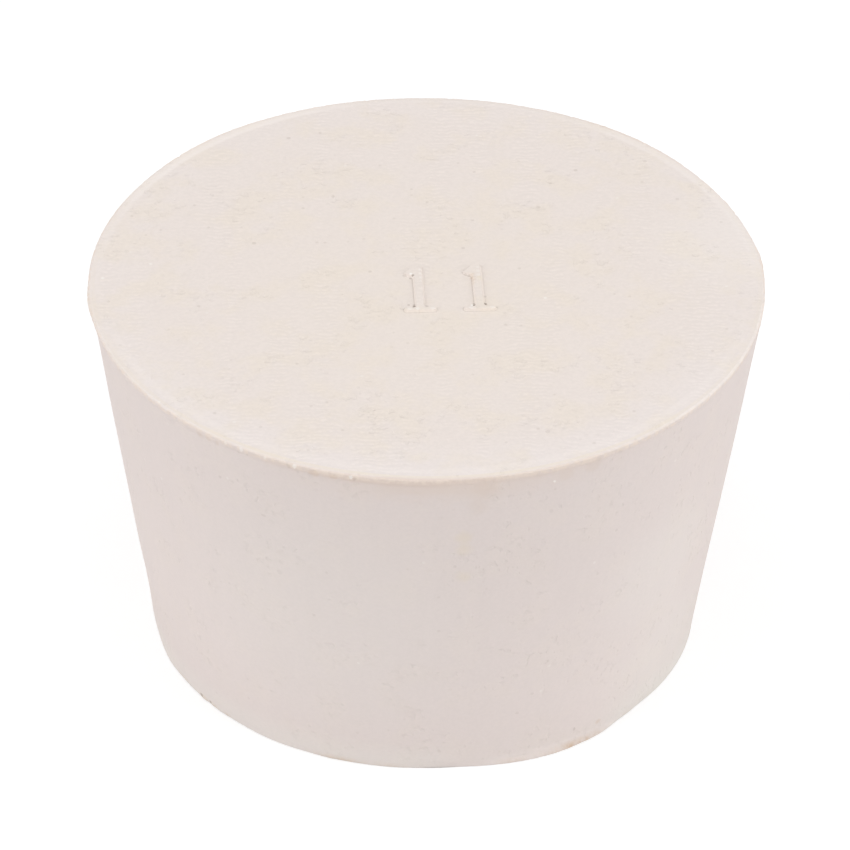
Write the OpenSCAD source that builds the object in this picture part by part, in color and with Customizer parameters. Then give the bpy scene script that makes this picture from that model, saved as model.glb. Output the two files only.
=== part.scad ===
// Solid rubber laboratory stopper, moulded in one piece.
// The narrow end rests on z = 0 and the wide end faces up, with the taper's axis on Z.
// A thin band of trimmed moulding flash runs round the wide end's edge.
// The size mark, a plain 11, stands proud of the wide face.

/* [Taper] */
// Diameter of the wide end, measured over the flash band
wide_d = 56; // [30:0.5:90]
// Diameter of the narrow end, where the taper meets the resting face
narrow_d = 46; // [20:0.5:80]
// Height from the resting face to the wide face
stopper_h = 33.2; // [15:0.1:60]
// Radius of the corner between the resting face and the taper
narrow_edge_r = 0.15; // [0.05:0.05:1]

/* [Flash band at the wide end] */
// How far the trimmed flash stands out past the taper
flash_proud = 0.15; // [0.05:0.05:0.6]
// Height of the flash band
flash_h = 0.6; // [0.3:0.05:1.5]
// Height of the slope under the band, where the flash runs back into the taper
flash_runout = 0.25; // [0.05:0.05:1]
// Radius of the corner between the flash band and the wide face
wide_edge_r = 0.15; // [0.05:0.05:0.25]
// Width of the shallow slope round the wide face
shoulder_w = 1; // [0.3:0.1:3]
// Fall of that slope from the wide face to its outer edge
shoulder_fall = 0.08; // [0.02:0.01:0.4]

/* [Size mark] */
// Height of one digit
digit_h = 6.6; // [3:0.1:10]
// Distance between the middles of the two digits
digit_pitch = 4.9; // [3.2:0.1:9]
// Width of a digit's stem
stem_w = 0.9; // [0.4:0.05:1.5]
// Width of the serif at the foot
serif_w = 2.75; // [1.6:0.05:3.1]
// Height of the serif at the foot
serif_h = 0.6; // [0.3:0.05:1.2]
// Reach of the flag at the head, to the left of the stem
flag_reach = 0.7; // [0.3:0.05:1.2]
// Drop from the top of the stem to the tip of the flag
flag_drop = 0.9; // [0.4:0.05:1.2]
// Height of the flag's blunt tip
flag_tip_h = 0.3; // [0.1:0.05:0.5]
// Drop from the top of the stem to where the flag's lower edge joins it
flag_root_drop = 1.65; // [1.3:0.05:2]
// Height that the mark stands above the wide face
mark_raise = 0.2; // [0.05:0.05:0.6]
// Sideways place of the mark's middle on the wide face
mark_x = 1.8; // [-4:0.1:4]
// Front-to-back place of the mark's middle on the wide face
mark_y = -1.2; // [-4:0.1:4]
// Turn of the mark on the wide face, in degrees
mark_turn = 3.3; // [-180:0.1:180]

/* [Hidden] */
$fn = 180;
rubber_cream = "#EBE2D9";
// Steps in each small corner arc
corner_steps = 6;
// How deep a digit's root is sunk into the body, so that the two are one solid
mark_root = 0.5;

wide_r = wide_d / 2;
narrow_r = narrow_d / 2;
digit_count = 2;
// Radius that the taper alone would have at the wide face
taper_top_r = wide_r - flash_proud;
// Slope of the taper's side from the vertical
taper_angle = atan((taper_top_r - narrow_r) / stopper_h);
// Levels of the flash band
band_top_z = stopper_h - shoulder_fall;
band_bottom_z = band_top_z - flash_h;
runout_z = band_bottom_z - flash_runout;
// Middle of the narrow corner's arc, which touches the resting face and the taper
narrow_arc_x = narrow_r - narrow_edge_r * (1 - sin(taper_angle)) / cos(taper_angle);

function taper_r(z) = narrow_r + z * tan(taper_angle);

function arc(middle, radius, from_angle, to_angle) = [
    for (i = [0 : corner_steps])
        let (a = from_angle + (to_angle - from_angle) * i / corner_steps)
            middle + radius * [cos(a), sin(a)]
];

// Half section of the body, from the axis outwards and up
function body_section() = concat(
    [[0, 0]],
    arc([narrow_arc_x, narrow_edge_r], narrow_edge_r, -90, -taper_angle),
    [[taper_r(runout_z), runout_z]],
    [[wide_r, band_bottom_z]],
    arc([wide_r - wide_edge_r, band_top_z - wide_edge_r], wide_edge_r, 0, 90),
    [[wide_r - shoulder_w, stopper_h]],
    [[0, stopper_h]]
);

// Outline of a 1 with a flag and a slab foot, standing on y = 0 with its stem on x = 0
function digit_one() = [
    [-serif_w / 2, 0],
    [serif_w / 2, 0],
    [serif_w / 2, serif_h],
    [stem_w / 2, serif_h],
    [stem_w / 2, digit_h],
    [-stem_w / 2, digit_h],
    [-stem_w / 2 - flag_reach, digit_h - flag_drop],
    [-stem_w / 2 - flag_reach, digit_h - flag_drop - flag_tip_h],
    [-stem_w / 2, digit_h - flag_root_drop],
    [-stem_w / 2, serif_h],
    [-serif_w / 2, serif_h]
];

module body() {
    rotate_extrude() polygon(body_section());
}

module size_mark() {
    for (i = [0 : digit_count - 1])
        translate([(i - (digit_count - 1) / 2) * digit_pitch, -digit_h / 2, -mark_root])
            linear_extrude(mark_root + mark_raise) polygon(digit_one());
}

module stopper() {
    color(rubber_cream) union() {
        body();
        translate([mark_x, mark_y, stopper_h]) rotate(mark_turn) size_mark();
    }
}

stopper();
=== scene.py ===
"""Looks of a solid rubber laboratory stopper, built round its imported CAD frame.

The stopper is one compression-moulded piece. It is modelled here as one closed mesh: a turned body with
the ragged line of trimmed flash round its wide end, small torn tabs at its narrow end, and a raised size
mark. Sizes are in millimetres while the mesh is made, and the mesh is scaled to metres at the end.
"""

import math
from types import SimpleNamespace

import bmesh
import bpy
from bpy.props import FloatProperty, FloatVectorProperty, PointerProperty
from bpy.types import Operator, Panel, PropertyGroup
from mathutils import Matrix, Vector, noise


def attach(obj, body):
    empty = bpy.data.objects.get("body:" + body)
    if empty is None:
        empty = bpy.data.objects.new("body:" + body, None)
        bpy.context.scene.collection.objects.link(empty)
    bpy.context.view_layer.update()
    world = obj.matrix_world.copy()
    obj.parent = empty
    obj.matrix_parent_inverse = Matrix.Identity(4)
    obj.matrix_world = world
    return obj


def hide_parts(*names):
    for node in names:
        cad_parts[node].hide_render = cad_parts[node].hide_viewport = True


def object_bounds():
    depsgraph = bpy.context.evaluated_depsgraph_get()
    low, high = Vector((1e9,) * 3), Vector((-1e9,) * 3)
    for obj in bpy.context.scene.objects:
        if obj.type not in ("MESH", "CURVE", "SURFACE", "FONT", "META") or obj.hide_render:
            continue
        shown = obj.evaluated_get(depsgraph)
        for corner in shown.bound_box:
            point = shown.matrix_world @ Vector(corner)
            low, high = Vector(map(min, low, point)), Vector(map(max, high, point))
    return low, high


bl_info = {
    "name": "Rubber Stopper",
    "version": (1, 0, 0),
    "blender": (4, 5, 0),
    "location": "View3D > Sidebar > Stopper",
    "description": "Builds a moulded rubber stopper and the studio it stands in",
    "category": "Add Mesh",
}

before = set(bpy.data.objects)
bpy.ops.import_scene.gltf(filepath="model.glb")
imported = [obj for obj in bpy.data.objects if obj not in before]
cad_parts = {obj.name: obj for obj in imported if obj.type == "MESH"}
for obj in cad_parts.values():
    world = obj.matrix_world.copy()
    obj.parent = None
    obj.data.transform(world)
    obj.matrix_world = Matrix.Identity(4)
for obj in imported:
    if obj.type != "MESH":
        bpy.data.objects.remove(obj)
CAD_LOW, CAD_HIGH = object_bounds()

MM = 0.001
NODE = "stopper"
# Mesh attributes: painted shade along the digits' feet, and the tan stain at the narrow corner
FOOT_SHADE_ATTRIBUTE = "digit_foot_shade"
STAIN_ATTRIBUTE = "corner_stain"

# Steps round the body: one every 0.12 mm at the wide end, fine enough for the torn edge of the flash
TURN_STEPS = 1440
SECTORS = 12
# Corners of the sectors nearer to each other than this are one, mm
MERGE_WITHIN = 1e-4


def srgb(code):
    """Linear red, green and blue of an sRGB hex colour."""
    channels = [int(code[i : i + 2], 16) / 255 for i in (1, 3, 5)]
    return [c / 12.92 if c <= 0.04045 else ((c + 0.055) / 1.055) ** 2.4 for c in channels]


# ---------------------------------------------------------------- settings


def length(name, text, default, top=0.1):
    """A length setting in metres, whose default is given in millimetres."""
    return FloatProperty(
        name=name,
        description=text,
        default=default * MM,
        min=0.0,
        max=top,
        precision=5,
        unit="LENGTH",
    )


def degrees(name, text, default):
    """An angle setting, whose default is given in degrees."""
    return FloatProperty(name=name, description=text, default=math.radians(default), subtype="ANGLE")


def colour(name, text, code):
    """A colour setting whose default is an sRGB hex code."""
    return FloatVectorProperty(
        name=name,
        description=text,
        default=srgb(code),
        min=0.0,
        max=1.0,
        size=3,
        subtype="COLOR",
    )


class StopperSizes(PropertyGroup):
    """Sizes of the moulded body."""

    wide_d: length("Wide end", "Diameter of the wide end over the flash", (CAD_HIGH.x - CAD_LOW.x) / MM)
    narrow_d: length("Narrow end", "Diameter of the narrow end", 46)
    narrow_edge_r: length("Narrow corner", "Radius of the corner at the resting face", 0.15)
    flash_proud: length("Flash overhang", "How far the trimmed flash stands past the taper", 0.15)
    flash_h: length("Flash height", "Height of the trimmed flash band", 0.6)
    flash_runout: length("Flash runout", "Height over which the flash runs back into the taper", 0.25)
    wide_edge_r: length("Wide corner", "Radius of the corner between flash and wide face", 0.15)
    shoulder_w: length("Shoulder width", "Width of the shallow slope round the wide face", 1)
    shoulder_fall: length("Shoulder fall", "Fall of that slope to its outer edge", 0.08)
    field_r: length("Mark field", "Radius of the flat field that holds the size mark", 9)


class MarkSizes(PropertyGroup):
    """Sizes of the raised size mark."""

    digit_h: length("Digit height", "Height of one digit", 6.6)
    digit_pitch: length("Digit pitch", "Distance between the digits' middles", 4.9)
    stem_w: length("Stem width", "Width of a digit's stem", 0.9)
    serif_w: length("Foot width", "Width of the slab foot", 2.75)
    serif_h: length("Foot height", "Height of the slab foot", 0.6)
    flag_reach: length("Flag reach", "Reach of the flag left of the stem", 0.7)
    flag_drop: length("Flag drop", "Drop from the stem's top to the flag's tip", 0.9)
    flag_tip_h: length("Flag tip", "Height of the flag's blunt tip", 0.3)
    flag_root_drop: length("Flag root", "Drop from the stem's top to the flag's root", 1.65)
    mark_raise: length("Raise", "Height of the mark above the wide face", 0.2)
    wall_run: length("Wall run", "Width of the rounded wall round each digit", 0.16)
    mark_x: length("Mark sideways", "Sideways place of the mark's middle", 1.8)
    mark_back: length("Mark forward", "How far the mark's middle lies in front of the axis", 1.2)
    mark_turn: degrees("Mark turn", "Turn of the mark on the wide face", 3.3)


class RubberColours(PropertyGroup):
    """Colours of the rubber and of what has marked it."""

    wide_face: colour("Wide face", "Cream rubber of the wide face", "#EDE3DD")
    side: colour("Side", "Slightly pinker rubber of the tapered side", "#E3D8D4")
    # Painted bounce light: the side is paler towards the narrow end
    side_foot_bounce_light: colour("Side foot", "Paler rubber of the side towards the narrow end", "#E7DCD8")
    warm_cloud: colour("Warm cloud", "Yellower clouds in the rubber", "#EFE3D1")
    # Painted light: a cool pale colour laid on patches of the side and towards the narrow corner
    painted_light: colour("Light_patch", "Cool bloom on the side", "#F4F6EF")
    torn_edge: colour("Torn edge", "Warmer rubber along the cut lip", "#EBDCD0")
    rim_zone: colour("Rim zone", "Paler rubber of the wide face towards its rim", "#EEE5E1")
    trimmed_band: colour("Trimmed band", "Tan rubber of the trimmed flash band", "#E2D1C6")
    # Also the colour of the painted shadows beneath the crumbs of the lip
    speck: colour("Speck", "Dark specks of filler in the surface", "#A8998C")
    # Also the colour of the painted highlights along the digits' stems
    fleck: colour("Fleck", "Pale flecks of filler in the surface", "#FCF8F3")
    # Painted highlight round the front of the shoulder and on the lip's crest, and painted reflection of the
    # backdrop on the back of the shoulder
    highlit: colour("Highlight", "Paler rubber where the rim was buffed or cut clean", "#FCF4EF")
    stain: colour("Stain", "Tan stain at the edges", "#C6A275")
    oil: colour("Oil", "Yellowish run of mould oil", "#E6D6AE")
    # Painted shade along the digits' feet and in their corners, and two dark spots at the narrow corner
    shade_and_dark_spots: colour("Shade", "Shadow lying in the foot of the digits", "#8A7C70")


class StudioSettings(PropertyGroup):
    """The camera's place and the strength of the light."""

    camera_distance: length("Camera distance", "Distance from the stopper's middle", 560, 5.0)
    camera_elevation: degrees("Elevation", "Height of the camera above the floor's plane", 35.86)
    camera_pitch: degrees("Pitch", "How far the camera looks above the stopper's middle", 0.157)
    camera_roll: degrees("Roll", "Turn of the camera about its line of sight", 0.606)
    camera_lens: FloatProperty(
        name="Lens",
        description="Focal length in millimetres on a 36 mm sensor",
        default=282.2,
        unit="CAMERA",
    )
    sky_strength: FloatProperty(
        name="Tent light",
        description="Strength of the even white light from all round",
        default=0.50,
    )


# ---------------------------------------------------------------- body mesh

# How far apart the smooth random values of one seed and the next are read
SEED_STEP = 7.31


def wavering(angle, waves, seed):
    """A smooth random value from -1 to 1 that joins up after a full turn, with about that many waves."""
    reach = waves / 2
    return noise.noise(Vector((math.cos(angle) * reach, math.sin(angle) * reach, seed * SEED_STEP)))


def raggedness(angle, waverings):
    """Several waverings together, each given by its waves in a turn, its seed and its size."""
    return sum(size * wavering(angle, waves, seed) for waves, seed, size in waverings)


def held(part):
    """A share kept between 0 and 1."""
    return min(1, max(0, part))


def eased(part):
    """A share from 0 to 1, held at its ends and carried smoothly between them."""
    share = held(part)
    return share * share * (3 - 2 * share)


def bump_at(angle, centre_deg, width_deg):
    """1 at an angle given in degrees, falling smoothly to 0 at half that width to each side."""
    away = (math.degrees(angle) - centre_deg + 180) % 360 - 180
    return eased(1 - abs(away) / (width_deg / 2))


def amount_at(angle, bumps):
    """What a list of bumps comes to at an angle, each given by where, how wide and how much."""
    return sum(amount * bump_at(angle, where, width) for where, width, amount in bumps)


# Nicks torn in the lip: where, in degrees anticlockwise from +X, how wide in degrees, how deep in mm
LIP_NICKS = [
    (237.4, 1.0, 0.05),
    (241.6, 1.2, 0.05),
    (246.9, 1.2, 0.06),
    (258.7, 0.6, 0.07),
    (274.5, 1.4, 0.05),
    (299.6, 1.5, 0.06),
    (311.0, 1.1, 0.05),
    (22.0, 1.2, 0.08),
    (64.0, 0.8, 0.08),
    (101.0, 1.5, 0.06),
    (139.0, 1.0, 0.08),
    (171.0, 0.9, 0.06),
]

# Crumbs of flash left under the lip: where in degrees, how wide in degrees, how far they stand out in mm
LIP_CRUMBS = [
    (235.2, 1.0, 0.10),
    (238.4, 0.9, 0.15),
    (242.9, 0.8, 0.12),
    (248.2, 0.8, 0.18),
    (257.8, 0.6, 0.18),
    (300.3, 1.2, 0.10),
    (85.0, 1.5, 0.12),
    (131.0, 0.9, 0.14),
    (150.0, 1.2, 0.12),
]

# Where the lip was cut further out, in the same terms, and where it was cut closer
LIP_FLASH = [
    (8.0, 16.0, 0.12),
    (52.0, 46.0, 0.20),
    (92.0, 34.0, -0.08),
    (130.0, 44.0, 0.16),
    (187.0, 13.0, 0.11),
    (239.0, 34.0, -0.05),
    (280.0, 26.0, -0.10),
]

# Where the taper stands off true: where in degrees, how wide in degrees, at what height in mm, how far up
# and down from it in mm, how far out in mm
SIDE_BULGES = [
    (352.0, 80.0, 33.0, 20.0, 0.10),
    (352.0, 80.0, 17.0, 12.0, 0.08),
    (190.0, 50.0, 5.0, 5.0, -0.10),
    (188.0, 40.0, 30.0, 8.0, -0.04),
]

# Tabs of flash left at the narrow end's corner: where in degrees, how wide in degrees, how far they stand
# out in mm. The negative ones are shallow places between them
FOOT_TABS = [
    (190.0, 16.0, -0.08),
    (203.0, 14.0, 0.08),
    (217.5, 3.0, 0.06),
    (223.0, 3.0, 0.05),
    (238.0, 22.0, 0.09),
    (250.0, 12.0, 0.05),
    (274.0, 20.0, -0.14),
    (285.0, 26.0, 0.10),
    (299.0, 40.0, 0.58),
    (309.5, 14.0, 0.15),
    (323.0, 12.0, -0.08),
    (342.0, 34.0, 0.08),
    (48.0, 9.0, 0.10),
    (120.0, 14.0, 0.12),
    (165.0, 6.0, 0.08),
]

# Tan stain along the narrow end's corner: where in degrees, how wide in degrees, how strong
FOOT_STAINS = [
    (209.5, 6.0, 0.30),
    (217.5, 4.0, 0.55),
    (221.0, 4.0, 0.45),
    (225.0, 3.0, 0.35),
    (253.0, 20.0, 0.36),
    (264.0, 10.0, 0.20),
    (289.0, 10.0, 0.22),
    (298.0, 10.0, 0.30),
    (301.4, 6.0, 0.32),
    (305.0, 15.0, 0.54),
    (318.0, 5.0, 0.20),
    (40.0, 16.0, 0.35),
    (118.0, 20.0, 0.30),
]

# The torn lip's overhang, as a share of the most it may be: its middle value, and how much more it is on
# the left and less on the right, where the two halves of the mould met a little off centre
LIP_SHARE = 0.88
LIP_OFF_CENTRE = 0.12
# Raggedness of that share, of the lip's height in mm and of the narrow corner in mm: waves in a turn, seed
# and size
LIP_RAGGED = [(26, 1, 0.16), (90, 2, 0.18), (300, 3, 0.22)]
LIP_RISE = [(110, 6, 0.03), (340, 7, 0.03)]
FOOT_RAGGED = [(150, 8, 0.02)]
# How far the lip may rise above the band's top, mm
RISE_MOST = 0.02
# The flash is torn from this far inside the wide end's radius and from this far below the runout, and its
# overhang is full from this far above the band's foot, mm
TORN_IN = 0.35
TORN_BELOW = 0.7
FULL_ABOVE = 0.2
# Grit on the cut band: how far out in mm, and the shares of the band's height at which it is roughest and
# over which it fades
GRIT_OUT = 0.05
GRIT_LEVEL = 0.35
GRIT_FADE = 0.5
# Its grains in a radian, which makes them 0.5 mm long, its grains in a mm of height, and its seed
GRIT_GRAINS = (55, 4)
GRIT_SEED = 3.1
# Share of a crumb that stands clear where the band is roughest
CRUMB_CLEAR = 0.6
# The narrow corner is torn up to this height, and its tabs reach up to this one, mm
FOOT_TOP = 1.5
TAB_TOP = 0.7
# Height of the narrow corner's stain, and how far it fades above and below that, mm
STAIN_HEIGHT = 0.14
STAIN_FADE = 0.34
# Unevenness of the side: how far its swellings stand out and how far apart they are, mm
SWELL_OUT = 0.05
SWELL_APART = 9


def bulge_at(angle, z):
    """How far the taper stands off true at an angle and a height."""
    return sum(
        out * bump_at(angle, where, width) * eased(1 - abs(z - height) / reach)
        for where, width, height, reach, out in SIDE_BULGES
    )


def lip_overhang(angle, most):
    """How far the torn lip stands out past the taper at an angle, never past the CAD's lip."""
    share = LIP_SHARE - LIP_OFF_CENTRE * math.cos(angle) + raggedness(angle, LIP_RAGGED)
    return held(share) * most - amount_at(angle, LIP_NICKS)


# Rings beside the section's corners, which keep the faces level up to them: how far in they lie, mm
CLOSE_RING = 0.4
FAR_RING = 2
# Share of the shoulder's fall at its close ring: less than a straight slope's, so the shoulder is crowned
SHOULDER_CROWN = 0.4
# Heights of the rings above the narrow corner and of the taper's first even step, and how far below the
# runout its closer steps start, mm
FOOT_RINGS = (0.3, 0.6, 0.9)
TAPER_START = 1.2
TAPER_CLOSE = 0.6
# Steps of the taper, of its closer part, of the runout and of the flash band
LEVEL_STEPS = (12, 3, 4, 5)
# A round's bevel offset is its radius times the tangent of half the corner's turn: about 1 at the lip, and
# less at the narrow corner, where the taper leaves a turn of 82 degrees
NARROW_TANGENT = 0.87
# Steps of each round
CORNER_STEPS = 4


def round_corner(bm, vert, offset, steps):
    """Rounds one corner of a chain of edges, starting this far along each of its two edges."""
    bmesh.ops.bevel(
        bm,
        geom=[vert],
        affect="VERTICES",
        offset=offset,
        segments=steps,
        profile=0.5,
        material=-1,
    )


def add_section(bm, sizes):
    """Half section of the body as a chain of edges in the XZ plane, from the axis to the mark's field.

    Gives back the heights in mm of the wide face, of the flash band's top and foot, and of its runout's end.
    """
    narrow_r = sizes.narrow_d / 2 / MM
    wide_r = sizes.wide_d / 2 / MM
    height = (CAD_HIGH.z - bpy.context.scene.stopper_mark.mark_raise) / MM
    taper_top_r = wide_r - sizes.flash_proud / MM
    band_top = height - sizes.shoulder_fall / MM
    band_bottom = band_top - sizes.flash_h / MM
    runout = band_bottom - sizes.flash_runout / MM

    def taper_r(z):
        return narrow_r + (taper_top_r - narrow_r) * z / height

    side_levels = list(FOOT_RINGS)
    ends = (TAPER_START, runout - TAPER_CLOSE, runout, band_bottom, band_top)
    for start, end, steps in zip(ends, ends[1:], LEVEL_STEPS):
        side_levels += [start + (end - start) * step / steps for step in range(steps)]
    shoulder_r = wide_r - sizes.shoulder_w / MM
    foot = (narrow_r, 0)
    lip = (taper_r(band_top), band_top)
    points = [(0, 0), (narrow_r - FAR_RING, 0), (narrow_r - CLOSE_RING, 0), foot]
    points += [(taper_r(z), z) for z in side_levels]
    points += [lip, (wide_r - CLOSE_RING, height - sizes.shoulder_fall / MM * SHOULDER_CROWN)]
    points += [(shoulder_r, height), (shoulder_r - CLOSE_RING, height), (sizes.field_r / MM, height)]
    verts = {point: bm.verts.new((point[0], 0, point[1])) for point in points}
    for pair in zip(points, points[1:]):
        bm.edges.new([verts[point] for point in pair])
    rounds = {foot: sizes.narrow_edge_r / MM * NARROW_TANGENT, lip: sizes.wide_edge_r / MM}
    for corner, offset in rounds.items():
        round_corner(bm, verts[corner], offset, CORNER_STEPS)
    return SimpleNamespace(height=height, band_top=band_top, band_bottom=band_bottom, runout=runout)


def torn_lip(place, angle, sizes, levels):
    """How far a point of the flash band moves out and up, in mm."""
    wide_r = sizes.wide_d / 2 / MM
    # Full overhang on the band, running out to nothing below it
    share = held((place.z - levels.runout) / (levels.band_bottom - levels.runout + FULL_ABOVE))
    hang = lip_overhang(angle, sizes.flash_proud / MM)
    push = hang * eased(share) + bulge_at(angle, place.z) * (1 - share)
    level = (place.z - levels.band_bottom) / (levels.band_top - levels.band_bottom)
    rough = max(0, 1 - abs(level - GRIT_LEVEL) / GRIT_FADE)
    grit = noise.noise(Vector((angle * GRIT_GRAINS[0], place.z * GRIT_GRAINS[1], GRIT_SEED)))
    push += GRIT_OUT * rough * grit
    push += amount_at(angle, LIP_CRUMBS) * rough * CRUMB_CLEAR
    spare = amount_at(angle, LIP_FLASH)
    push = min(push + spare * share, wide_r + spare - place.xy.length)
    lift = min(raggedness(angle, LIP_RISE) * held(level), levels.band_top + RISE_MOST - place.z)
    return push, lift


def torn_foot(place, angle):
    """How far a point near the narrow corner moves out, in mm."""
    fade = 1 - min(1, place.z / TAB_TOP)
    return fade * (amount_at(angle, FOOT_TABS) + raggedness(angle, FOOT_RAGGED))


def uneven_side(place, angle, levels):
    """How far a point of the taper moves out, in mm: a few hundredths, and the broad bulges."""
    share = math.sin(math.pi * (place.z - FOOT_TOP) / (levels.runout - FOOT_TOP))
    return SWELL_OUT * share * noise.noise(place / SWELL_APART) + bulge_at(angle, place.z)


def tear_edges(bm, sizes, levels):
    """Makes the lip, the side and the narrow corner as uneven as cut and moulded rubber, point by point."""
    stain = bm.verts.layers.float[STAIN_ATTRIBUTE]
    torn_r = sizes.wide_d / 2 / MM - TORN_IN
    for vert in bm.verts:
        place = vert.co.copy()
        radius = place.xy.length
        angle = math.atan2(place.y, place.x)
        push = 0.0
        lift = 0.0
        if radius > torn_r and place.z > levels.runout - TORN_BELOW:
            push, lift = torn_lip(place, angle, sizes, levels)
        elif 0 < place.z < FOOT_TOP:
            push = torn_foot(place, angle)
            share = max(0, 1 - abs(place.z - STAIN_HEIGHT) / STAIN_FADE)
            vert[stain] = amount_at(angle, FOOT_STAINS) * share
        elif FOOT_TOP <= place.z <= levels.runout:
            push = uneven_side(place, angle, levels)
        if push:
            vert.co.xy *= (radius + push) / radius
        vert.co.z += lift


# ---------------------------------------------------------------- size mark


def digit_outline(mark):
    """Corner points of a 1 with a flag and a slab foot, anticlockwise, standing on y = 0 about x = 0."""
    half_stem = mark.stem_w / 2 / MM
    half_foot = mark.serif_w / 2 / MM
    foot = mark.serif_h / MM
    top = mark.digit_h / MM
    tip_x = -half_stem - mark.flag_reach / MM
    tip_top = top - mark.flag_drop / MM
    tip_bottom = tip_top - mark.flag_tip_h / MM
    root = top - mark.flag_root_drop / MM
    points = [
        (-half_foot, 0),
        (half_foot, 0),
        (half_foot, foot),
        (half_stem, foot),
        (half_stem, top),
        (-half_stem, top),
        (tip_x, tip_top),
        (tip_x, tip_bottom),
        (-half_stem, root),
        (-half_stem, foot),
        (-half_foot, foot),
    ]
    return [Vector(p) for p in points]


def grown(points, distance):
    """A closed anticlockwise outline moved outwards by a distance, with its corners kept sharp."""
    moved = []
    for before, here, after in zip(points[-1:] + points[:-1], points, points[1:] + points[:1]):
        along_a = (here - before).normalized()
        along_b = (after - here).normalized()
        out_a = Vector((along_a.y, -along_a.x))
        out_b = Vector((along_b.y, -along_b.x))
        corner = (out_a + out_b).normalized()
        moved.append(here + corner * distance / corner.dot(out_a))
    return moved


# Rounded wall of a digit: share of its run and share of its raise, from the foot up
WALL_STEPS = [(run, eased(run)) for run in (0.17, 0.33, 0.5, 0.67, 0.83, 1.0)]
# Flat ring kept level round each digit's foot, so that the wide face is shaded flat up to it, mm
LEVEL_RING = 0.12
# Flat ring inside the edge of a digit's top, mm
TOP_RING = 0.06
# Radii of a digit's outline where it turns outwards and inwards, at the level ring's edge, mm
OUTER_CORNER_R = 0.36
INNER_CORNER_R = 0.05
# Steps of each of those corners
OUTLINE_STEPS = 5
# Edges of the outline longer than this, in mm, are cut in this many places
LONG_EDGE = 0.3
LONG_EDGE_CUTS = 9


def round_corners(bm, verts):
    """Rounds every corner of a flat outline, each with the radius for its kind of corner."""
    turns = []
    for before, here, after in zip(verts[-1:] + verts[:-1], verts, verts[1:] + verts[:1]):
        turn = (here.co - before.co).xy.angle_signed((after.co - here.co).xy)
        # angle_signed counts clockwise turns as positive, and the outline runs anticlockwise
        radius = OUTER_CORNER_R if turn < 0 else INNER_CORNER_R
        turns.append((here, radius * math.tan(abs(turn) / 2)))
    for vert, offset in turns:
        round_corner(bm, vert, offset, OUTLINE_STEPS)


# Painted shade along a digit's foot: the least, and what is added on walls that face left, right and front
SHADE_LEAST = 0.04
SHADE_LEFT = 0.30
SHADE_RIGHT = 0.05
SHADE_FRONT = 0.24
# How strongly facing the back as well takes from the painted shade of a wall that faces left
SHADE_BACK_LOSS = 1.2
# Share of that painted shade on the flag of each digit
FLAG_SHADE = (0.25, 0.75)
# Which corner of a digit's outline is the flag's root, and how far past it the flag's share holds, mm
FLAG_ROOT = 8
FLAG_PAST = 0.05
# A point below this share of the raise is at the foot of its digit
FOOT_SHARE = 0.01


def shade_at(mark, place, flag_shade):
    """How much painted shade a point on a digit's foot gets: most on the side facing left."""
    points = digit_outline(mark)
    here = place.xy
    nearest = math.inf
    facing = Vector((0, 0))
    for start, end in zip(points, points[1:] + points[:1]):
        along = end - start
        share = held((here - start).dot(along) / along.length_squared)
        away = (start + along * share - here).length
        if away < nearest:
            nearest = away
            facing = Vector((along.y, -along.x)).normalized()
    to_left = max(0, -facing.x - SHADE_BACK_LOSS * max(0, facing.y))
    wall_shade = SHADE_LEAST + SHADE_LEFT * to_left + SHADE_RIGHT * max(0, facing.x)
    wall_shade += SHADE_FRONT * max(0, -facing.y)
    root = points[FLAG_ROOT]
    on_flag = here.x < root.x + FLAG_PAST and here.y > root.y - FLAG_PAST
    return wall_shade * flag_shade if on_flag else wall_shade


def add_digit(bm, mark, place, flag_shade):
    """One raised digit with a rounded wall, and a level ring round its foot."""
    known = set(bm.faces)
    run = mark.wall_run / MM
    rise = mark.mark_raise / MM
    outline = grown(digit_outline(mark), LEVEL_RING)
    verts = [bm.verts.new((p.x, p.y, 0)) for p in outline]
    bm.faces.new(verts)
    round_corners(bm, verts)
    face = next(f for f in bm.faces if f not in known)
    long_edges = [e for e in face.edges if e.calc_length() > LONG_EDGE]
    bmesh.ops.subdivide_edges(bm, edges=long_edges, cuts=LONG_EDGE_CUTS)
    face = next(f for f in bm.faces if f not in known)

    def step_in(distance, lift):
        """Moves the digit's inner face in from its edge, and up."""
        bmesh.ops.inset_region(
            bm, faces=[face], thickness=distance, use_boundary=True, use_even_offset=True
        )
        for vert in face.verts:
            vert.co.z += lift

    step_in(LEVEL_RING, 0.0)
    wall_shade = bm.verts.layers.float[FOOT_SHADE_ATTRIBUTE]
    done_in = 0.0
    done_up = 0.0
    for share_in, share_up in WALL_STEPS:
        step_in(run * (share_in - done_in), rise * (share_up - done_up))
        done_in, done_up = share_in, share_up
    step_in(TOP_RING, 0.0)
    made = {v for f in bm.faces if f not in known for v in f.verts}
    for vert in made:
        inside = not any(e.is_boundary for e in vert.link_edges)
        at_foot = inside and vert.co.z < FOOT_SHARE * rise
        vert[wall_shade] = shade_at(mark, vert.co, flag_shade) if at_foot else 0.0
    bmesh.ops.transform(bm, matrix=place, verts=list(made))


def digit_place(mark, digit, height):
    """Where a digit stands: the middle of its foot, at a height in millimetres."""
    middle = Matrix.Translation((mark.mark_x / MM, -mark.mark_back / MM, height))
    turn = Matrix.Rotation(mark.mark_turn, 4, "Z")
    foot = ((digit - 0.5) * mark.digit_pitch / MM, -mark.digit_h / 2 / MM, 0)
    return middle @ turn @ Matrix.Translation(foot)


def add_size_mark(bm, mark, height):
    """Raises the digits out of the flat field on the wide face, and closes the field round them."""
    for digit, flag_shade in enumerate(FLAG_SHADE):
        add_digit(bm, mark, digit_place(mark, digit, height), flag_shade)
    edges = [e for e in bm.edges if e.is_boundary]
    bmesh.ops.triangle_fill(bm, use_beauty=True, use_dissolve=False, edges=edges, normal=(0, 0, 1))


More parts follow.
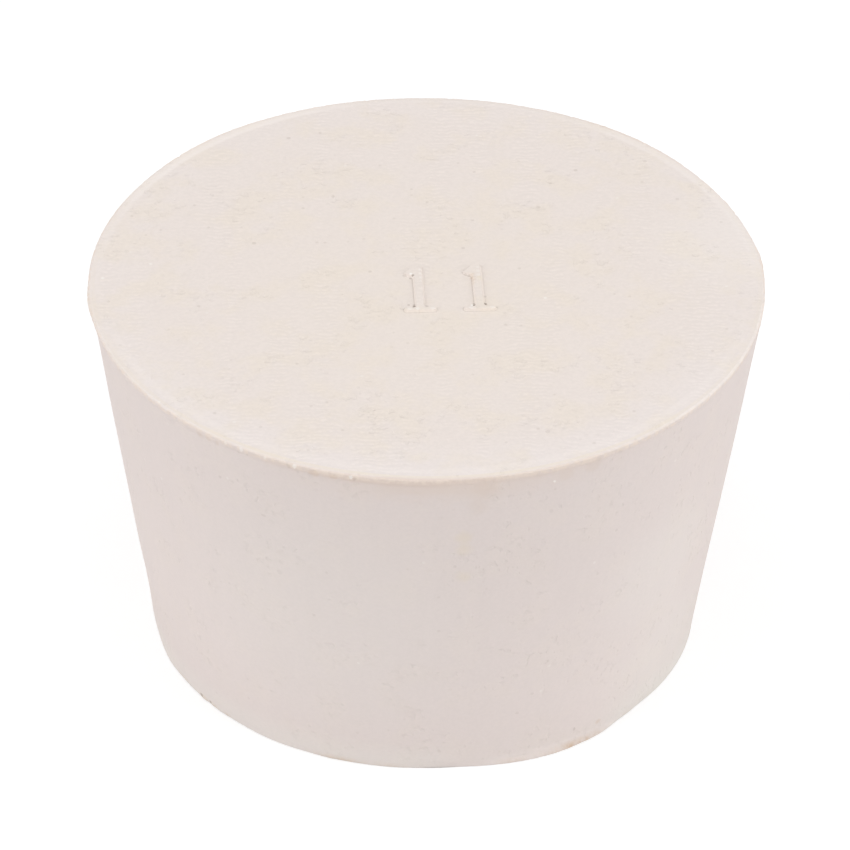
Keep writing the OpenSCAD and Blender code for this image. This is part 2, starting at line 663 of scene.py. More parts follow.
def build_body():
    """The whole stopper as one closed mesh, in metres."""
    sizes = bpy.context.scene.stopper_sizes
    mark = bpy.context.scene.stopper_mark
    bm = bmesh.new()
    bm.verts.layers.float.new(FOOT_SHADE_ATTRIBUTE)
    bm.verts.layers.float.new(STAIN_ATTRIBUTE)
    levels = add_section(bm, sizes)
    # One sector is turned step by step, and the other sectors are copies of it
    axis = {"cent": (0, 0, 0), "axis": (0, 0, 1)}
    section = list(bm.verts) + list(bm.edges)
    bmesh.ops.spin(bm, geom=section, angle=math.tau / SECTORS, steps=TURN_STEPS // SECTORS, **axis)
    sector = list(bm.verts) + list(bm.edges) + list(bm.faces)
    rest = math.tau * (SECTORS - 1) / SECTORS
    bmesh.ops.spin(bm, geom=sector, angle=rest, steps=SECTORS - 1, use_duplicate=True, **axis)
    bmesh.ops.remove_doubles(bm, verts=list(bm.verts), dist=MERGE_WITHIN)
    tear_edges(bm, sizes, levels)
    add_size_mark(bm, mark, levels.height)
    bmesh.ops.recalc_face_normals(bm, faces=list(bm.faces))
    bmesh.ops.triangulate(bm, faces=[f for f in bm.faces if len(f.verts) > 4])
    bmesh.ops.scale(bm, vec=(MM, MM, MM), verts=list(bm.verts))
    loose = [e for e in bm.edges if not e.is_manifold]
    if loose:
        raise RuntimeError(f"the stopper's mesh is open at {len(loose)} edges")
    mesh = bpy.data.meshes.new("moulded_stopper")
    bm.to_mesh(mesh)
    bm.free()
    mesh.shade_smooth()
    return mesh


# ---------------------------------------------------------------- rubber


def add(tree, kind, inputs, **settings):
    """Adds one shader node, makes its settings, and sets or links its inputs."""
    made = tree.nodes.new("ShaderNode" + kind)
    for name, value in settings.items():
        setattr(made, name, value)
    for name, value in inputs.items():
        if isinstance(value, bpy.types.NodeSocket):
            tree.links.new(value, made.inputs[name])
        else:
            made.inputs[name].default_value = value
    return made


def emptied_nodes(owner):
    """The node tree of a material or a world, with nothing in it."""
    owner.use_nodes = True
    owner.node_tree.nodes.clear()
    return owner.node_tree


def joined(tree, operation, values):
    """Several values brought to one by an operation: their sum, for ADD, or their product, for MULTIPLY."""
    result = values[0]
    for value in values[1:]:
        result = add(tree, "Math", {0: result, 1: value}, operation=operation).outputs[0]
    return result


def mask(tree, *parts):
    """The product of the parts of a mask.

    A part is a value as it stands, or a value with the two ends between which it is carried smoothly from
    0 to 1. Two more numbers give what it is at those ends instead. It is held beyond them.
    """
    shares = []
    for part in parts:
        if isinstance(part, tuple):
            value, start, end, *given = part
            low, high = given or (0.0, 1.0)
            limits = {"Value": value, 1: start, 2: end, 3: low, 4: high}
            part = add(tree, "MapRange", limits, interpolation_type="SMOOTHSTEP").outputs["Result"]
        shares.append(part)
    return joined(tree, "MULTIPLY", shares)


def paint(tree, under, over, *parts):
    """One colour laid over another as strongly as a mask with these parts says."""
    layers = {"Factor": mask(tree, *parts), 6: under, 7: over}
    return add(tree, "Mix", layers, data_type="RGBA").outputs[2]


def opaque(rgb):
    """A colour as the four values that a socket takes."""
    return (*rgb, 1.0)


def ink(name):
    """The colour setting with this name, for a socket."""
    return opaque(getattr(bpy.context.scene.stopper_colours, name))


# Uneven patterns of the rubber: size of a patch in mm, detail, roughness, and the share of the way along
# X, Y and Z that counts, where the patches are drawn out
PATTERNS = {
    # Soft clouds, 2 to 5 mm across, where the rubber is a shade yellower
    "cloud": (3.4, 3.0, 0.55, None),
    # The fine tooth of the mould's surface
    "grain": (0.30, 2.0, 0.5, None),
    # Streaks down the side, about 1 mm wide, where rubber flowed along the mould
    "streak": (1.1, 2.0, 0.5, (1, 1, 0.12)),
    # Dimples 0.4 to 0.8 mm across, and the patches they gather in, where air lay between rubber and mould
    "dimple": (0.62, 1.5, 0.5, None),
    "dimple_patch": (3.5, 2.0, 0.5, None),
    # Wander of the ripples on the wide face, and the strips from front to back where they are plainest
    "ripple_drift": (1.2, 2.0, 0.5, None),
    "ripple_strip": (2.4, 2.0, 0.5, (1, 0.14, 1)),
    # Wavy edges of the tan band under the lip, and its patches
    "band_edge": (0.9, 3.0, 0.5, None),
    "band_patch": (4.0, 4.0, 0.5, None),
    # Torn places of the lip, 0.3 to 1 mm long
    "torn": (0.5, 2.0, 0.5, None),
}

# Stains left by the mould and by handling: place in mm, radius in mm, which colour, how strong
STAINS = [
    # beside the head and stem of the second digit
    ((3.76, 0.75, 33.3), 0.30, "stain", 0.22),
    ((3.80, 0.35, 33.3), 0.30, "stain", 0.28),
    ((3.84, -0.05, 33.3), 0.28, "stain", 0.22),
    ((3.87, -0.50, 33.3), 0.26, "stain", 0.14),
    ((4.35, 0.25, 33.4), 0.50, "oil", 0.24),
    # run of mould oil under the lip
    ((4.9, -27.3, 31.7), 1.6, "stain", 0.09),
    ((4.4, -27.3, 29.9), 1.3, "stain", 0.07),
    ((3.2, -26.7, 26.6), 1.0, "oil", 0.18),
    ((3.2, -26.6, 25.3), 1.0, "oil", 0.18),
    ((3.2, -26.2, 22.2), 1.0, "oil", 0.15),
    # a warmer middle of the wide face
    ((0.0, -2.0, 33.2), 21.0, "warm_cloud", 0.13),
    # painted light: paler, cooler patches on the front of the side and towards the narrow corner at the
    # right; and a paler patch on the wide face's right
    ((-8.0, -24.2, 17.0), 17.0, "painted_light", 0.09),
    ((19.4, -15.8, 16.0), 9.0, "painted_light", 0.11),
    ((20.4, -11.8, 3.0), 11.0, "painted_light", 0.15),
    ((25.0, 6.0, 33.2), 9.0, "fleck", 0.13),
    # spot above the narrow corner, front right
    ((14.6, -18.0, 1.2), 0.35, "stain", 0.20),
]

# Spots at the size mark: the dark ones are painted shade in the corners where stems meet feet and under the
# flags; the pale rows up the stems are painted highlight along their right edges; the other pale ones are
# spots on the feet and by the flags. Columns: which digit, place from the middle of its foot in mm, radius
# in mm, which colour, and how strong
MARK_SPOTS = [
    # first digit: the dark spots are painted shade in its corners and under its flag
    (0, (-0.50, 0.78, 0.0), 0.19, "shade_and_dark_spots", 0.75),
    (0, (-0.50, 1.02, 0.0), 0.15, "shade_and_dark_spots", 0.40),
    (0, (0.55, 0.84, 0.0), 0.17, "shade_and_dark_spots", 0.20),
    (0, (-0.95, 1.08, 0.0), 0.15, "shade_and_dark_spots", 0.28),
    (0, (-0.55, 5.34, 0.12), 0.19, "fleck", 1.00),
    (0, (-0.39, 5.12, 0.16), 0.15, "shade_and_dark_spots", 0.65),
    (0, (-0.60, 4.92, 0.00), 0.16, "shade_and_dark_spots", 0.35),
    (0, (-1.08, 5.35, 0.00), 0.24, "shade_and_dark_spots", 0.16),
    (0, (-0.88, 0.30, 0.2), 0.24, "fleck", 0.32),
    (0, (-0.25, 0.28, 0.2), 0.24, "fleck", 0.40),
    (0, (1.00, 0.32, 0.2), 0.26, "fleck", 0.32),
    # painted highlight along the first stem's right edge
    (0, (0.27, 5.90, 0.2), 0.22, "fleck", 0.22),
    (0, (0.27, 5.35, 0.2), 0.24, "fleck", 0.30),
    (0, (0.27, 4.80, 0.2), 0.24, "fleck", 0.26),
    (0, (0.28, 4.25, 0.2), 0.22, "fleck", 0.18),
    # second digit: the dark spots are painted shade in its corners and under its flag
    (1, (-0.46, 0.78, 0.0), 0.18, "shade_and_dark_spots", 0.80),
    (1, (-0.47, 1.02, 0.0), 0.14, "shade_and_dark_spots", 0.35),
    (1, (-0.65, 0.86, 0.0), 0.14, "fleck", 1.00),
    (1, (0.45, 0.98, 0.0), 0.18, "shade_and_dark_spots", 0.70),
    (1, (0.50, 2.05, 0.0), 0.16, "shade_and_dark_spots", 0.20),
    (1, (-0.92, 5.28, 0.0), 0.17, "shade_and_dark_spots", 0.18),
    (1, (-0.66, 5.10, 0.0), 0.17, "shade_and_dark_spots", 0.22),
    (1, (-0.75, 0.30, 0.2), 0.26, "fleck", 0.26),
    (1, (1.00, 0.30, 0.2), 0.26, "fleck", 0.22),
    # painted highlight along the second stem's right edge
    (1, (0.12, 6.10, 0.2), 0.22, "fleck", 0.20),
    (1, (0.13, 5.55, 0.2), 0.24, "fleck", 0.24),
    (1, (0.14, 5.00, 0.2), 0.24, "fleck", 0.22),
    (1, (0.15, 4.45, 0.2), 0.22, "fleck", 0.14),
]

# Dark specks on the wide face: place in mm, radius in mm, how strong
FACE_SPECKS = [
    ((-11.9, 21.2), 0.24, 0.24),
    ((12.5, 16.7), 0.22, 0.22),
    ((-14.4, 5.2), 0.24, 0.22),
    ((3.0, 4.8), 0.22, 0.20),
    ((-4.7, 1.2), 0.20, 0.20),
    ((21.0, 12.5), 0.22, 0.19),
    ((18.4, 18.2), 0.22, 0.18),
    ((9.3, 11.0), 0.26, 0.17),
    ((-8.5, 5.4), 0.18, 0.18),
    ((9.8, -21.2), 0.26, 0.17),
    ((-18.7, -4.1), 0.20, 0.17),
    ((13.5, -22.7), 0.20, 0.15),
]

# Crumbs, pits and specks on the side and along the lip; the dark spots just below the lip's crumbs are
# painted shadow beneath them. Columns: where in degrees, height in mm, radius in mm, which colour, how
# strong
SIDE_SPOTS = [
    (229.5, 32.50, 0.50, "stain", 0.12),
    (231.5, 32.45, 0.50, "stain", 0.14),
    (233.3, 32.45, 0.40, "stain", 0.12),
    (235.2, 33.00, 0.20, "fleck", 0.25),
    (238.4, 32.95, 0.24, "fleck", 0.40),
    # painted shadow beneath the crumb at 238.4 degrees
    (237.9, 32.45, 0.40, "speck", 0.24),
    (239.3, 32.45, 0.30, "speck", 0.18),
    (242.9, 33.00, 0.20, "fleck", 0.30),
    (248.2, 32.90, 0.26, "fleck", 0.50),
    # painted shadow beside the crumb at 248.2 degrees
    (247.1, 32.80, 0.30, "speck", 0.22),
    (251.5, 32.60, 0.60, "stain", 0.15),
    (255.0, 32.65, 0.50, "stain", 0.12),
    (257.8, 32.95, 0.22, "fleck", 0.60),
    # painted shadow beneath the crumb at 257.8 degrees
    (258.6, 32.75, 0.24, "speck", 0.20),
    (294.0, 32.00, 0.90, "stain", 0.06),
    (299.0, 32.10, 0.90, "stain", 0.08),
    (292.0, 31.50, 0.17, "fleck", 0.60),
    (232.8, 28.70, 0.22, "speck", 0.15),
    (241.2, 26.30, 0.22, "speck", 0.15),
    (292.0, 28.20, 0.26, "speck", 0.10),
    (275.5, 23.40, 0.20, "speck", 0.14),
    (249.5, 16.50, 0.22, "speck", 0.13),
    (289.0, 5.60, 0.22, "speck", 0.14),
    (273.5, 2.10, 0.20, "speck", 0.14),
    (344.3, 8.20, 0.22, "speck", 0.16),
    # two dark spots at the narrow corner
    (216.7, 0.35, 0.20, "shade_and_dark_spots", 0.55),
    (219.7, 0.35, 0.20, "shade_and_dark_spots", 0.45),
    (302.8, 1.60, 0.22, "speck", 0.28),
    (75.0, 32.80, 0.30, "speck", 0.25),
    (131.0, 32.90, 0.26, "fleck", 0.40),
]


def by_face(at, off, on):
    """A part of a mask that has one share off the wide face and another on it."""
    return (at.on_face, 0.0, 1.0, off, on)


def spot(tree, place, centre, reach, soft=0.5):
    """A mask of 1 within a distance of a point, both in mm, fading over its outer share."""
    away = add(tree, "VectorMath", {0: place, 1: Vector(centre) * MM}, operation="DISTANCE").outputs["Value"]
    reach *= MM
    return mask(tree, (away, reach * (1 - soft), reach, 1.0, 0.0))


def ring(tree, at, far, near, soft):
    """A mask of 1 between two distances in mm from the wide end's edge, with soft sides of a width in mm."""
    inner = at.wide_r - far * MM
    outer = at.wide_r - near * MM
    soft *= MM
    return mask(tree, (at.radius, inner - soft, inner), (at.radius, outer, outer + soft, 1.0, 0.0))


def rubber_places(tree):
    """What the rubber's layers share: where a point lies on the stopper, and the patterns there."""
    at = SimpleNamespace()
    at.face_z = CAD_HIGH.z - bpy.context.scene.stopper_mark.mark_raise
    at.wide_r = bpy.context.scene.stopper_sizes.wide_d / 2
    at.place = add(tree, "TexCoord", {}).outputs["Object"]
    parts = add(tree, "SeparateXYZ", {"Vector": at.place}).outputs
    at.x, at.y, at.z = parts["X"], parts["Y"], parts["Z"]
    plan = add(tree, "CombineXYZ", {"X": at.x, "Y": at.y}).outputs[0]
    at.radius = add(tree, "VectorMath", {0: plan}, operation="LENGTH").outputs["Value"]
    at.on_face = mask(tree, (at.z, at.face_z - 0.20 * MM, at.face_z - 0.05 * MM))
    at.off_face = joined(tree, "SUBTRACT", (1.0, at.on_face))
    for name, (size, detail, roughness, drawn_out) in PATTERNS.items():
        vector = at.place
        if drawn_out:
            stretch = {"Vector": at.place, "Scale": drawn_out}
            vector = add(tree, "Mapping", stretch, vector_type="POINT").outputs[0]
        inputs = {"Vector": vector, "Scale": 1 / (size * MM), "Detail": detail, "Roughness": roughness}
        setattr(at, name, add(tree, "TexNoise", inputs).outputs["Fac"])
    return at


def add_surface_marks(tree, at):
    """Adds to the shared places what both the colour and the relief show: dimples, specks and ripples."""
    at.dimples = mask(tree, (at.dimple, 0.55, 0.70), (at.dimple_patch, 0.46, 0.62))
    # Specks of filler, 0.2 to 0.4 mm across, each in a cell of its own; few are dark
    cells = add(tree, "TexVoronoi", {"Vector": at.place, "Scale": 1 / (1.3 * MM)}).outputs
    chance = add(tree, "SeparateColor", {"Color": cells["Color"]}).outputs["Red"]
    darkness = mask(tree, (chance, 0.45, 1.0))
    near = (cells["Distance"], 0.05, 0.16, 1.0, 0.0)
    at.speck = mask(tree, near, darkness, darkness, by_face(at, 0.70, 1.0))
    # Ripples 0.54 mm apart across the wide face, left by the planing of the mould plate. They are plainest
    # in strips that run front to back, where the planer chattered, and the grain breaks them up
    shifted_y = joined(tree, "ADD", (at.y, mask(tree, at.ripple_drift, 1.3 * MM)))
    rippled = add(tree, "CombineXYZ", {"X": at.x, "Y": shifted_y}).outputs[0]
    # A band wave turns once in a twentieth of 2 pi
    waves = {"Vector": rippled, "Scale": math.tau / 20 / (0.54 * MM), "Distortion": 0.0}
    at.ripple = add(tree, "TexWave", waves, bands_direction="Y").outputs["Fac"]
    broken = (at.grain, 0.35, 0.65, 0.3, 1.0)
    at.ripple_here = mask(tree, (at.ripple_strip, 0.46, 0.60), broken, at.on_face)


def bare_rubber(tree, at):
    """The rubber's colour: creamy and clouded on the wide face, pinker on the side, with painted bounce
    light making the side paler towards the narrow end.
    """
    at_rim = (at.radius, 22 * MM, 26.6 * MM)
    to_back = (at.y, -18 * MM, -2 * MM, 1.0, 0.45)
    face = paint(tree, ink("wide_face"), ink("rim_zone"), at_rim, to_back)
    # Painted bounce light: the side is paler towards the narrow end
    side = paint(tree, ink("side"), ink("side_foot_bounce_light"), (at.z, 2 * MM, 30 * MM, 1.0, 0.0))
    body = paint(tree, side, face, at.on_face)
    clouds = (at.cloud, 0.42, 0.68, 0.0, 0.30)
    return paint(tree, body, ink("warm_cloud"), clouds, by_face(at, 0.25, 1.0))


def add_shade(tree, at, body):
    """Brightness of the grain, streaks, dimples and ripples, each a small share either side of 1."""
    shades = (
        1.0,
        mask(tree, (at.grain, 0.25, 0.75, -0.022, 0.022), by_face(at, 0.55, 1.0)),
        mask(tree, (at.streak, 0.3, 0.7, -0.004, 0.004), at.off_face),
        mask(tree, at.dimples, -0.026),
        mask(tree, (at.ripple, 0.0, 1.0, -0.026, 0.026), at.ripple_here),
    )
    total = joined(tree, "ADD", shades)
    return add(tree, "VectorMath", {0: body, "Scale": total}, operation="SCALE").outputs[0]


def add_filler(tree, at, body):
    """Dark specks of filler, and pale flecks 0.2 to 0.4 mm across, each in a cell of its own."""
    body = paint(tree, body, ink("speck"), at.speck, 0.20)
    cells = add(tree, "TexVoronoi", {"Vector": at.place, "Scale": 1 / (2.2 * MM)}).outputs
    chance = add(tree, "SeparateColor", {"Color": cells["Color"]}).outputs["Green"]
    near = (cells["Distance"], 0.04, 0.09, 1.0, 0.0)
    return paint(tree, body, ink("fleck"), near, (chance, 0.5, 1.0), by_face(at, 0.26, 0.58))


def add_trimmed_band(tree, at, body):
    """The trimmed band under the lip, tan in patches round the rim and most at the front."""
    waver = mask(tree, (at.band_edge, 0.25, 0.75, -0.35 * MM, 0.35 * MM))
    wavy_z = joined(tree, "ADD", (at.z, waver))
    band = mask(
        tree,
        (wavy_z, at.face_z - 1.5 * MM, at.face_z - 0.5 * MM),
        (at.radius, at.wide_r - 0.38 * MM, at.wide_r - 0.10 * MM),
    )
    amount = mask(
        tree,
        (at.y, -28 * MM, -18 * MM, 0.85, 0.12),
        (at.band_patch, 0.35, 0.6, 0.55, 1.0),
        (at.x, 9 * MM, 19 * MM, 1.0, 0.35),
        (at.x, -17 * MM, -6 * MM, 0.45, 1.0),
    )
    body = paint(tree, body, ink("trimmed_band"), band, amount)
    # Old mould release has run down from it at the front
    run = (wavy_z, at.face_z - 3.4 * MM, at.face_z - 0.9 * MM)
    front = spot(tree, at.place, (3.0, -27.5, 33.0), 20, soft=0.9)
    return paint(tree, body, ink("trimmed_band"), run, at.off_face, front, 0.34)


def add_lip(tree, at, body):
    """The cut lip: paler where it was torn, and paler behind, a painted reflection of the bright backdrop on
    the shoulder.
    """
    lip = (at.radius, at.wide_r - 0.30 * MM, at.wide_r - 0.12 * MM)
    edge = (at.z, at.face_z - 0.62 * MM, at.face_z - 0.32 * MM)
    body = paint(tree, body, ink("torn_edge"), lip, edge, (at.torn, 0.40, 0.60, 0.1, 0.8))
    # Painted reflection of the bright backdrop on the back of the shoulder
    behind = (
        mask(tree, (at.y, -5 * MM, 8 * MM, 0.0, 0.18)),
        mask(tree, spot(tree, at.place, (-18.0, 20.7, 33.2), 16, soft=0.6), 0.34),
        mask(tree, spot(tree, at.place, (20.5, 18.3, 33.2), 13, soft=0.6), 0.17),
    )
    return paint(
        tree,
        body,
        ink("highlit"),
        (at.radius, at.wide_r - 1.20 * MM, at.wide_r - 0.85 * MM),
        (at.radius, at.wide_r - 0.60 * MM, at.wide_r, 1.0, 0.5),
        (at.z, at.face_z - 0.70 * MM, at.face_z - 0.40 * MM),
        joined(tree, "ADD", behind),
    )


def add_front_rim(tree, at, body):
    """Round the front the shoulder falls away in a paler ring, a painted highlight, and a yellower one, to
    the lip's crest.
    """
    # Painted highlight: a paler ring where the shoulder starts to fall
    pale = ring(tree, at, 1.45, 1.05, 0.25)
    body = paint(tree, body, ink("highlit"), pale, at.on_face, (at.y, -14 * MM, -2 * MM, 0.14, 0.0))
    yellow = ring(tree, at, 0.56, 0.36, 0.12)
    to_front = (at.y, -27 * MM, -8 * MM, 0.42, 0.10)
    body = paint(tree, body, ink("warm_cloud"), yellow, at.on_face, to_front)
    # The crest has a painted highlight at the front left and right, strongest at the right
    crest = mask(
        tree,
        ring(tree, at, 0.25, 0.13, 0.08),
        (at.z, at.face_z - 0.30 * MM, at.face_z - 0.15 * MM),
        (at.torn, 0.38, 0.62, 0.45, 1.25),
        (at.y, -6 * MM, 3 * MM, 1.0, 0.0),
    )
    to_right = mask(tree, (at.x, 11 * MM, 24 * MM, 0.0, 0.46))
    to_left = mask(tree, (at.x, -7 * MM, -3 * MM, 0.19, 0.0))
    body = paint(tree, body, ink("highlit"), crest, joined(tree, "ADD", (to_right, to_left)))
    # At the front middle the crest is tan instead, above the run of mould release
    crest = ring(tree, at, 0.36, 0.14, 0.08)
    middle = spot(tree, at.place, (0.5, -27.8, 33.2), 6, soft=0.6)
    return paint(tree, body, ink("trimmed_band"), crest, middle, 0.30)


def add_foot(tree, at, body):
    """Painted bounce light, paler and cooler towards the narrow corner, least at the front right, and the
    corner's tan stain.
    """
    # Painted bounce light: paler and cooler towards the narrow corner
    lit_from_below = (at.z, 0.4 * MM, 3.6 * MM, 0.19, 0.0)
    front_right = spot(tree, at.place, (9.4, -21.1, 1.0), 10)
    body = paint(tree, body, ink("painted_light"), lit_from_below, (front_right, 0.0, 1.0, 1.0, 0.3))
    # The stain's places are painted on the mesh
    stain = add(tree, "Attribute", {}, attribute_name=STAIN_ATTRIBUTE).outputs["Fac"]
    return paint(tree, body, ink("stain"), stain, (at.torn, 0.35, 0.60, 0.35, 1.0))


def single_spots(at):
    """Every spot, crumb, speck, painted shade and highlight: broken edge or not, centre and radius in mm,
    colour and strength.
    """
    sizes = bpy.context.scene.stopper_sizes
    mark = bpy.context.scene.stopper_mark
    face_height = at.face_z / MM
    for digit, where, reach, name, strength in MARK_SPOTS:
        yield False, digit_place(mark, digit, face_height) @ Vector(where), reach, name, strength
    for (x, y), reach, strength in FACE_SPECKS:
        yield False, (x, y, face_height), reach, "speck", strength
    narrow_r = sizes.narrow_d / 2
    taper_top_r = at.wide_r - sizes.flash_proud
    for where, height, reach, name, strength in SIDE_SPOTS:
        on_taper = height * MM < at.face_z - sizes.flash_h - sizes.flash_runout
        share = height * MM / at.face_z
        out = (narrow_r + (taper_top_r - narrow_r) * share if on_taper else at.wide_r) / MM
        angle = math.radians(where)
        yield True, (out * math.cos(angle), out * math.sin(angle), height), reach, name, strength


def add_marks(tree, at, body):
    """Stains, painted shade along the feet of the digits, and spots one by one, painted shade and highlights
    among them.
    """
    # Broken edges: the place is shaken by up to 0.25 mm each way
    noises = {"Vector": at.place, "Scale": 1 / (0.6 * MM), "Detail": 3.0}
    shake = add(tree, "TexNoise", noises).outputs["Color"]
    shake = add(tree, "VectorMath", {0: shake, 1: (0.5, 0.5, 0.5)}, operation="SUBTRACT").outputs[0]
    shake = add(tree, "VectorMath", {0: shake, "Scale": 0.5 * MM}, operation="SCALE").outputs[0]
    ragged = add(tree, "VectorMath", {0: at.place, 1: shake}, operation="ADD").outputs[0]
    for centre, reach, name, strength in STAINS:
        body = paint(tree, body, ink(name), spot(tree, ragged, centre, reach, soft=0.8), strength)
    # The places of the painted shade along the digits' feet are painted on the mesh
    wall_shade = add(tree, "Attribute", {}, attribute_name=FOOT_SHADE_ATTRIBUTE).outputs["Fac"]
    body = paint(tree, body, ink("shade_and_dark_spots"), wall_shade, 0.9)
    for broken, centre, reach, name, strength in single_spots(at):
        blot = spot(tree, ragged if broken else at.place, centre, reach)
        body = paint(tree, body, ink(name), blot, strength)
    return body


def relief(tree, at):
    """Bump from heights in metres: ripples, grain, streaks, dimples and the pits of the specks."""
    rises = (
        mask(tree, at.ripple, at.ripple_here, 0.005 * MM),
        mask(tree, at.grain, by_face(at, 0.005 * MM, 0.010 * MM)),
        mask(tree, at.streak, at.off_face, 0.006 * MM),
        mask(tree, at.dimples, -0.032 * MM),
        mask(tree, at.speck, -0.015 * MM),
    )
    height = joined(tree, "ADD", rises)
    return add(tree, "Bump", {"Height": height, "Distance": 1.0, "Strength": 1.0}).outputs["Normal"]


# What lies over the bare rubber, in the order in which it is laid on
LAYERS = (add_shade, add_filler, add_trimmed_band, add_lip, add_front_rim, add_foot, add_marks)


def rubber_material():
    """Cream natural rubber, compression moulded: matte, faintly clouded, flecked with filler.

    The mould plate leaves very fine ripples on the wide face. The cut flash is paler where it was torn and
    tan below, where old mould release has gathered. None of it shines: the light breaks up on the surface.
    """
    material = bpy.data.materials.new("moulded_cream_natural_rubber")
    tree = emptied_nodes(material)
    at = rubber_places(tree)
    add_surface_marks(tree, at)
    body = bare_rubber(tree, at)
    for layer in LAYERS:
        body = layer(tree, at, body)
    look = {
        "Base Color": body,
        "Roughness": mask(tree, (at.grain, 0.3, 0.7, 0.62, 0.72)),
        "IOR": 1.52,
        "Specular IOR Level": 0.12,
        "Normal": relief(tree, at),
    }
    shader = add(tree, "BsdfPrincipled", look)
    add(tree, "OutputMaterial", {"Surface": shader.outputs[0]})
    return material


# ---------------------------------------------------------------- studio


def white_for_camera(tree):
    """1 for rays that show the backdrop itself, straight, in a gloss or through glass; otherwise 0."""
    rays = add(tree, "LightPath", {}).outputs
    seen = joined(tree, "ADD", (rays["Is Camera Ray"], rays["Is Glossy Ray"], rays["Is Transmission Ray"]))
    return add(tree, "Clamp", {"Value": seen}).outputs[0]


def tent_world(strength):
    """Even white light from all round, like a light tent, with a plain white backdrop."""
    world = bpy.data.worlds.new("light_tent")
    tree = emptied_nodes(world)
    seen = white_for_camera(tree)
    shown = add(tree, "MapRange", {"Value": seen, 3: strength, 4: 1.0}).outputs["Result"]
    glow = add(tree, "Background", {"Color": (1, 1, 1, 1), "Strength": shown})
    add(tree, "OutputWorld", {"Surface": glow.outputs[0]})
    return world


# The paper's own colour, what is seen of it by the camera, and the glow added to that
PAPER = "#F2F2F2"
SEEN_PAPER = "#B5B5B5"
SEEN_GLOW = 0.63
# How far the paper reaches from its middle, in metres, and how far it lies under the stopper, in mm
PAPER_REACH = 3.0
PAPER_GAP = 0.02


def floor_material():
    """White matt paper: it bounces light as paper does, and shows near white with a faint soft shadow."""
    material = bpy.data.materials.new("white_matt_paper")
    tree = emptied_nodes(material)
    paper = add(tree, "BsdfDiffuse", {"Color": opaque(srgb(PAPER))})
    seen_paper = add(tree, "BsdfDiffuse", {"Color": opaque(srgb(SEEN_PAPER))})
    glow = add(tree, "Emission", {"Color": (1, 1, 1, 1), "Strength": SEEN_GLOW})
    seen = add(tree, "AddShader", {0: seen_paper.outputs[0], 1: glow.outputs[0]})
    shares = {0: white_for_camera(tree), 1: paper.outputs[0], 2: seen.outputs[0]}
    mixed = add(tree, "MixShader", shares)
    add(tree, "OutputMaterial", {"Surface": mixed.outputs[0]})
    return material


# Soft boxes: name, place in metres, size in metres, power in watts. Each looks at the stopper's middle
SOFT_BOXES = [
    ("overhead", (0.0, 0.0, 0.90), 0.9, 2.21),
    ("right", (0.70, -0.29, 0.35), 0.5, 2.28),
    ("left", (-0.75, -0.35, 0.45), 0.5, 2.78),
]


def put_in_scene(name, data):
    """A new object with this data, in the scene."""
    made = bpy.data.objects.new(name, data)
    bpy.context.scene.collection.objects.link(made)
    return made


def add_lamps(middle):
    """Plain white soft boxes round the stopper."""
    for name, where, size, power in SOFT_BOXES:
        light = bpy.data.lights.new(name, "AREA")
        light.shape = "SQUARE"
        light.size = size
        light.energy = power
        lamp = put_in_scene(name, light)
        lamp.location = where
        lamp.rotation_euler = (middle - Vector(where)).to_track_quat("-Z", "Y").to_euler()


# Width of the camera's sensor in mm, and how far the camera sees in metres
SENSOR_WIDTH = 36.0
SIGHT_END = 20.0


def add_camera(studio, middle):
    """A long lens looking down at the stopper from the front."""
    data = bpy.data.cameras.new("camera")
    data.lens = studio.camera_lens
    data.sensor_width = SENSOR_WIDTH
    data.clip_end = SIGHT_END
    camera = put_in_scene("camera", data)
    arm = Matrix.Rotation(math.pi / 2 - studio.camera_elevation, 4, "X")
    back = Matrix.Translation((0, 0, studio.camera_distance))
    roll = Matrix.Rotation(studio.camera_roll, 4, "Z")
    pitch = Matrix.Rotation(studio.camera_pitch, 4, "X")
    camera.matrix_world = Matrix.Translation(middle) @ arm @ back @ roll @ pitch
    bpy.context.scene.camera = camera


# ---------------------------------------------------------------- operators


class STOPPER_OT_body(Operator):
    """Builds the moulded stopper in place of its plain CAD node"""

    bl_idname = "stopper.body"
    bl_label = "Moulded Stopper"
    bl_options = {"REGISTER", "UNDO"}

    def execute(self, context):
        mesh = build_body()
        mesh.materials.append(rubber_material())
        piece = put_in_scene("moulded_stopper", mesh)
        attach(piece, "root")
        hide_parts(NODE)
        return {"FINISHED"}


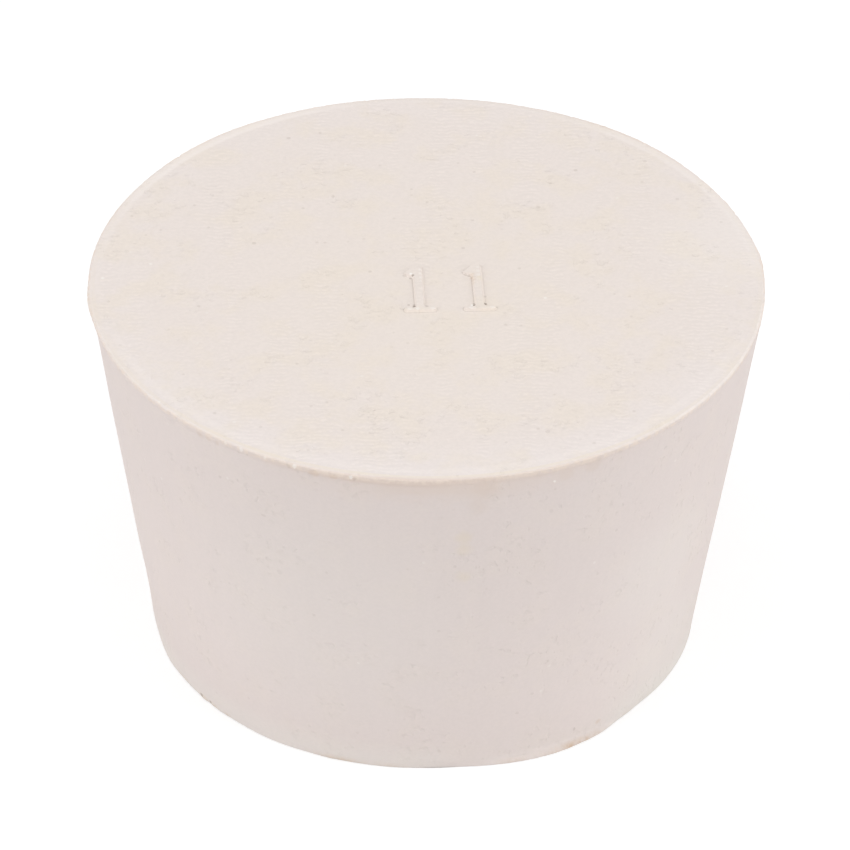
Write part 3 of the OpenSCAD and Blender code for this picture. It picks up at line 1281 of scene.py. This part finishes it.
class STOPPER_OT_studio(Operator):
    """Sets the stopper on white paper in even light, with its camera"""

    bl_idname = "stopper.studio"
    bl_label = "Studio"
    bl_options = {"REGISTER", "UNDO"}

    def execute(self, context):
        scene = context.scene
        studio = scene.stopper_studio
        middle = Vector((0, 0, (CAD_HIGH.z - scene.stopper_mark.mark_raise) / 2))
        bm = bmesh.new()
        bmesh.ops.create_grid(bm, x_segments=1, y_segments=1, size=PAPER_REACH)
        bmesh.ops.translate(bm, verts=list(bm.verts), vec=(0, 0, CAD_LOW.z - PAPER_GAP * MM))
        mesh = bpy.data.meshes.new("paper_floor")
        bm.to_mesh(mesh)
        bm.free()
        mesh.materials.append(floor_material())
        floor = put_in_scene("paper_floor", mesh)
        scene.world = tent_world(studio.sky_strength)
        add_lamps(middle)
        add_camera(studio, middle)
        scene.view_settings.view_transform = "Standard"
        return {"FINISHED"}


class STOPPER_PT_panel(Panel):
    """Lists the stopper's settings and what builds it"""

    bl_idname = "STOPPER_PT_panel"
    bl_label = "Rubber Stopper"
    bl_space_type = "VIEW_3D"
    bl_region_type = "UI"
    bl_category = "Stopper"

    def draw(self, context):
        layout = self.layout
        layout.use_property_split = True
        for title, group in SETTINGS.items():
            box = layout.box()
            box.label(text=title)
            settings = getattr(context.scene, group[0])
            for name in group[1].__annotations__:
                box.prop(settings, name)
        for operator in OPERATORS:
            layout.operator(operator.bl_idname)


# Title in the panel: name on the scene, and the group
SETTINGS = {
    "Body": ("stopper_sizes", StopperSizes),
    "Size mark": ("stopper_mark", MarkSizes),
    "Rubber": ("stopper_colours", RubberColours),
    "Studio": ("stopper_studio", StudioSettings),
}
OPERATORS = (STOPPER_OT_body, STOPPER_OT_studio)
CLASSES = (*(group[1] for group in SETTINGS.values()), *OPERATORS, STOPPER_PT_panel)


def register():
    for cls in CLASSES:
        bpy.utils.register_class(cls)
    for name, group in SETTINGS.values():
        setattr(bpy.types.Scene, name, PointerProperty(type=group))


def unregister():
    for name, _ in SETTINGS.values():
        delattr(bpy.types.Scene, name)
    for cls in reversed(CLASSES):
        bpy.utils.unregister_class(cls)


def main():
    """Builds everything."""
    register()
    bpy.ops.stopper.body()
    bpy.ops.stopper.studio()


if __name__ == "__main__":
    main()
